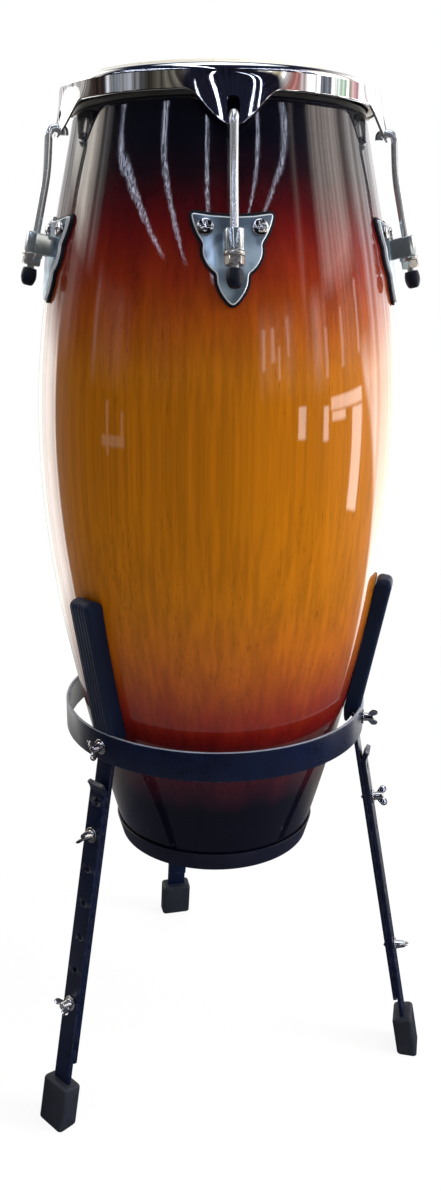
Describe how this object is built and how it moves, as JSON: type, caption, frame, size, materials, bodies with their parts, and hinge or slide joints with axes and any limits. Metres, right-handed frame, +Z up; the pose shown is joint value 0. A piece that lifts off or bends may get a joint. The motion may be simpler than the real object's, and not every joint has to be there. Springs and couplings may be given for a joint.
{
  "type": "conga drum in a ring stand",
  "caption": "Barrel-shaped wooden hand drum with a hook-tuned head, held in a three-legged ring stand with adjustable legs.",
  "frame": {"origin": "middle of the whole object's underside, on the floor; the drum's axis stands a little to one side of it, since the three legs reach out unevenly", "axes": "+Z up along the drum's axis, -Y towards the front of the picture, +X to its right"},
  "size_m": [0.423, 0.433, 1.0236],
  "materials": {
    "shell_lacquer": "gloss lacquer, stained black and red at both ends",
    "band_black": "satin black",
    "head_skin": "pale, matt",
    "hoop_steel": "plain",
    "rim_chrome": "mirror",
    "plate_chrome": "mirror",
    "gasket_black": "matt black",
    "bolt_zinc": "bright zinc",
    "rod_chrome": "mirror",
    "nut_chrome": "bright",
    "cap_black": "matt black",
    "ring_black": "satin black",
    "bar_black": "satin black",
    "sleeve_black": "matt black, ribbed",
    "foot_black": "matt black",
    "wing_zinc": "bright nickel"
  },
  "bodies": {
    "stand": {"stand_ring": "ring_black", "upper_leg_1": "bar_black", "upper_leg_2": "bar_black", "upper_leg_3": "bar_black", "arm_sleeve_1": "sleeve_black", "arm_sleeve_2": "sleeve_black", "arm_sleeve_3": "sleeve_black"},
    "drum": {"drum_shell": "shell_lacquer", "bottom_band": "band_black", "drum_head": "head_skin", "side_plate_1": "plate_chrome", "gasket_1": "gasket_black", "lug_bolts_1": "bolt_zinc", "side_plate_2": "plate_chrome", "gasket_2": "gasket_black", "lug_bolts_2": "bolt_zinc", "side_plate_3": "plate_chrome", "gasket_3": "gasket_black", "lug_bolts_3": "bolt_zinc", "side_plate_4": "plate_chrome", "gasket_4": "gasket_black", "lug_bolts_4": "bolt_zinc", "side_plate_5": "plate_chrome", "gasket_5": "gasket_black", "lug_bolts_5": "bolt_zinc"},
    "rim_and_hoop": {"rim": "rim_chrome", "flesh_hoop": "hoop_steel"},
    "rod_1": {"tuning_rod_1": "rod_chrome", "rod_cap_1": "cap_black"},
    "rod_2": {"tuning_rod_2": "rod_chrome", "rod_cap_2": "cap_black"},
    "rod_3": {"tuning_rod_3": "rod_chrome", "rod_cap_3": "cap_black"},
    "rod_4": {"tuning_rod_4": "rod_chrome", "rod_cap_4": "cap_black"},
    "rod_5": {"tuning_rod_5": "rod_chrome", "rod_cap_5": "cap_black"},
    "nut_1": {"tuning_nut_1": "nut_chrome"},
    "nut_2": {"tuning_nut_2": "nut_chrome"},
    "nut_3": {"tuning_nut_3": "nut_chrome"},
    "nut_4": {"tuning_nut_4": "nut_chrome"},
    "nut_5": {"tuning_nut_5": "nut_chrome"},
    "leg_1": {"lower_leg_1": "bar_black", "foot_1": "foot_black"},
    "leg_2": {"lower_leg_2": "bar_black", "foot_2": "foot_black"},
    "leg_3": {"lower_leg_3": "bar_black", "foot_3": "foot_black"},
    "ring_screw_1": {"ring_wing_screw_1": "wing_zinc"},
    "leg_screw_upper_1": {"leg_wing_screw_upper_1": "wing_zinc"},
    "leg_screw_lower_1": {"leg_wing_screw_lower_1": "wing_zinc"},
    "ring_screw_2": {"ring_wing_screw_2": "wing_zinc"},
    "leg_screw_upper_2": {"leg_wing_screw_upper_2": "wing_zinc"},
    "leg_screw_lower_2": {"leg_wing_screw_lower_2": "wing_zinc"},
    "ring_screw_3": {"ring_wing_screw_3": "wing_zinc"},
    "leg_screw_upper_3": {"leg_wing_screw_upper_3": "wing_zinc"},
    "leg_screw_lower_3": {"leg_wing_screw_lower_3": "wing_zinc"}
  },
  "joints": [
    {"name": "drum_lift", "type": "slide", "parent": "stand", "child": "drum", "axis": [0, 0, 1], "range_m": [0, 0.31]},
    {"name": "rim_tune", "type": "slide", "parent": "drum", "child": "rim_and_hoop", "axis": [0, 0, -1], "range_m": [0, 0.005], "deforming": ["drum_head"]},
    {"name": "rod_slide_1", "type": "slide", "parent": "drum", "child": "rod_1", "axis": [0.0155, -0.2217, -0.975], "range_m": [0, 0.00514]},
    {"name": "rod_slide_2", "type": "slide", "parent": "drum", "child": "rod_2", "axis": [0.2156, -0.0538, -0.975], "range_m": [0, 0.00514]},
    {"name": "rod_slide_3", "type": "slide", "parent": "drum", "child": "rod_3", "axis": [0.1178, 0.1885, -0.975], "range_m": [0, 0.00514]},
    {"name": "rod_slide_4", "type": "slide", "parent": "drum", "child": "rod_4", "axis": [-0.1429, 0.1703, -0.975], "range_m": [0, 0.00514]},
    {"name": "rod_slide_5", "type": "slide", "parent": "drum", "child": "rod_5", "axis": [-0.2061, -0.0833, -0.975], "range_m": [0, 0.00514]},
    {"name": "nut_spin_1", "type": "hinge", "parent": "drum", "child": "nut_1", "pos_m": [-0.01679, -0.20593, 0.86776], "axis": [-0.0155, 0.2217, 0.975], "range_deg": [0, 1490]},
    {"name": "nut_spin_2", "type": "hinge", "parent": "drum", "child": "nut_2", "pos_m": [0.14789, -0.06775, 0.86776], "axis": [-0.2156, 0.0538, 0.975], "range_deg": [0, 1490]},
    {"name": "nut_spin_3", "type": "hinge", "parent": "drum", "child": "nut_3", "pos_m": [0.06736, 0.13158, 0.86776], "axis": [-0.1178, -0.1885, 0.975], "range_deg": [0, 1490]},
    {"name": "nut_spin_4", "type": "hinge", "parent": "drum", "child": "nut_4", "pos_m": [-0.14709, 0.11658, 0.86776], "axis": [0.1429, -0.1703, 0.975], "range_deg": [0, 1490]},
    {"name": "nut_spin_5", "type": "hinge", "parent": "drum", "child": "nut_5", "pos_m": [-0.1991, -0.09201, 0.86776], "axis": [0.2061, 0.0833, 0.975], "range_deg": [0, 1490]},
    {"name": "leg_slide_1", "type": "slide", "parent": "stand", "child": "leg_1", "axis": [-0.1289, -0.1312, -0.9829], "range_m": [0, 0.037]},
    {"name": "leg_slide_2", "type": "slide", "parent": "stand", "child": "leg_2", "axis": [0.1799, -0.0382, -0.9829], "range_m": [0, 0.037]},
    {"name": "leg_slide_3", "type": "slide", "parent": "stand", "child": "leg_3", "axis": [-0.0429, 0.1789, -0.9829], "range_m": [0, 0.037]},
    {"name": "ring_screw_spin_1", "type": "hinge", "parent": "stand", "child": "ring_screw_1", "pos_m": [-0.14236, -0.13831, 0.4066], "axis": [-0.7009, -0.7133, 0], "continuous": true},
    {"name": "leg_screw_upper_spin_1", "type": "hinge", "parent": "leg_1", "child": "leg_screw_upper_1", "pos_m": [-0.15109, -0.14719, 0.31382], "axis": [-0.6889, -0.7011, 0.184], "continuous": true},
    {"name": "leg_screw_lower_spin_1", "type": "hinge", "parent": "leg_1", "child": "leg_screw_lower_1", "pos_m": [-0.17494, -0.17146, 0.13201], "axis": [-0.6889, -0.7011, 0.184], "continuous": true},
    {"name": "ring_screw_spin_2", "type": "hinge", "parent": "stand", "child": "ring_screw_2", "pos_m": [0.1279, -0.05697, 0.4066], "axis": [0.9781, -0.2079, 0], "continuous": true},
    {"name": "leg_screw_upper_spin_2", "type": "hinge", "parent": "leg_2", "child": "leg_screw_upper_2", "pos_m": [0.14007, -0.05956, 0.31382], "axis": [0.9615, -0.2044, 0.184], "continuous": true},
    {"name": "leg_screw_lower_spin_2", "type": "hinge", "parent": "leg_2", "child": "leg_screw_lower_2", "pos_m": [0.17336, -0.06663, 0.13201], "axis": [0.9615, -0.2044, 0.184], "continuous": true},
    {"name": "ring_screw_spin_3", "type": "hinge", "parent": "stand", "child": "ring_screw_3", "pos_m": [-0.06712, 0.13301, 0.4066], "axis": [-0.2334, 0.9724, 0], "continuous": true},
    {"name": "leg_screw_upper_spin_3", "type": "hinge", "parent": "leg_3", "child": "leg_screw_upper_3", "pos_m": [-0.07003, 0.14511, 0.31382], "axis": [-0.2295, 0.9558, 0.184], "continuous": true},
    {"name": "leg_screw_lower_spin_3", "type": "hinge", "parent": "leg_3", "child": "leg_screw_lower_3", "pos_m": [-0.07797, 0.1782, 0.13201], "axis": [-0.2295, 0.9558, 0.184], "continuous": true}
  ],
  "couplings": [
    {"joint": "rod_slide_1", "follows": "rim_tune", "ratio": 1.0257},
    {"joint": "rod_slide_2", "follows": "rim_tune", "ratio": 1.0257},
    {"joint": "rod_slide_3", "follows": "rim_tune", "ratio": 1.0257},
    {"joint": "rod_slide_4", "follows": "rim_tune", "ratio": 1.0257},
    {"joint": "rod_slide_5", "follows": "rim_tune", "ratio": 1.0257},
    {"joint": "nut_spin_1", "follows": "rim_tune", "rad_per_m": 5155.5},
    {"joint": "nut_spin_2", "follows": "rim_tune", "rad_per_m": 5155.5},
    {"joint": "nut_spin_3", "follows": "rim_tune", "rad_per_m": 5155.5},
    {"joint": "nut_spin_4", "follows": "rim_tune", "rad_per_m": 5155.5},
    {"joint": "nut_spin_5", "follows": "rim_tune", "rad_per_m": 5155.5}
  ]
}
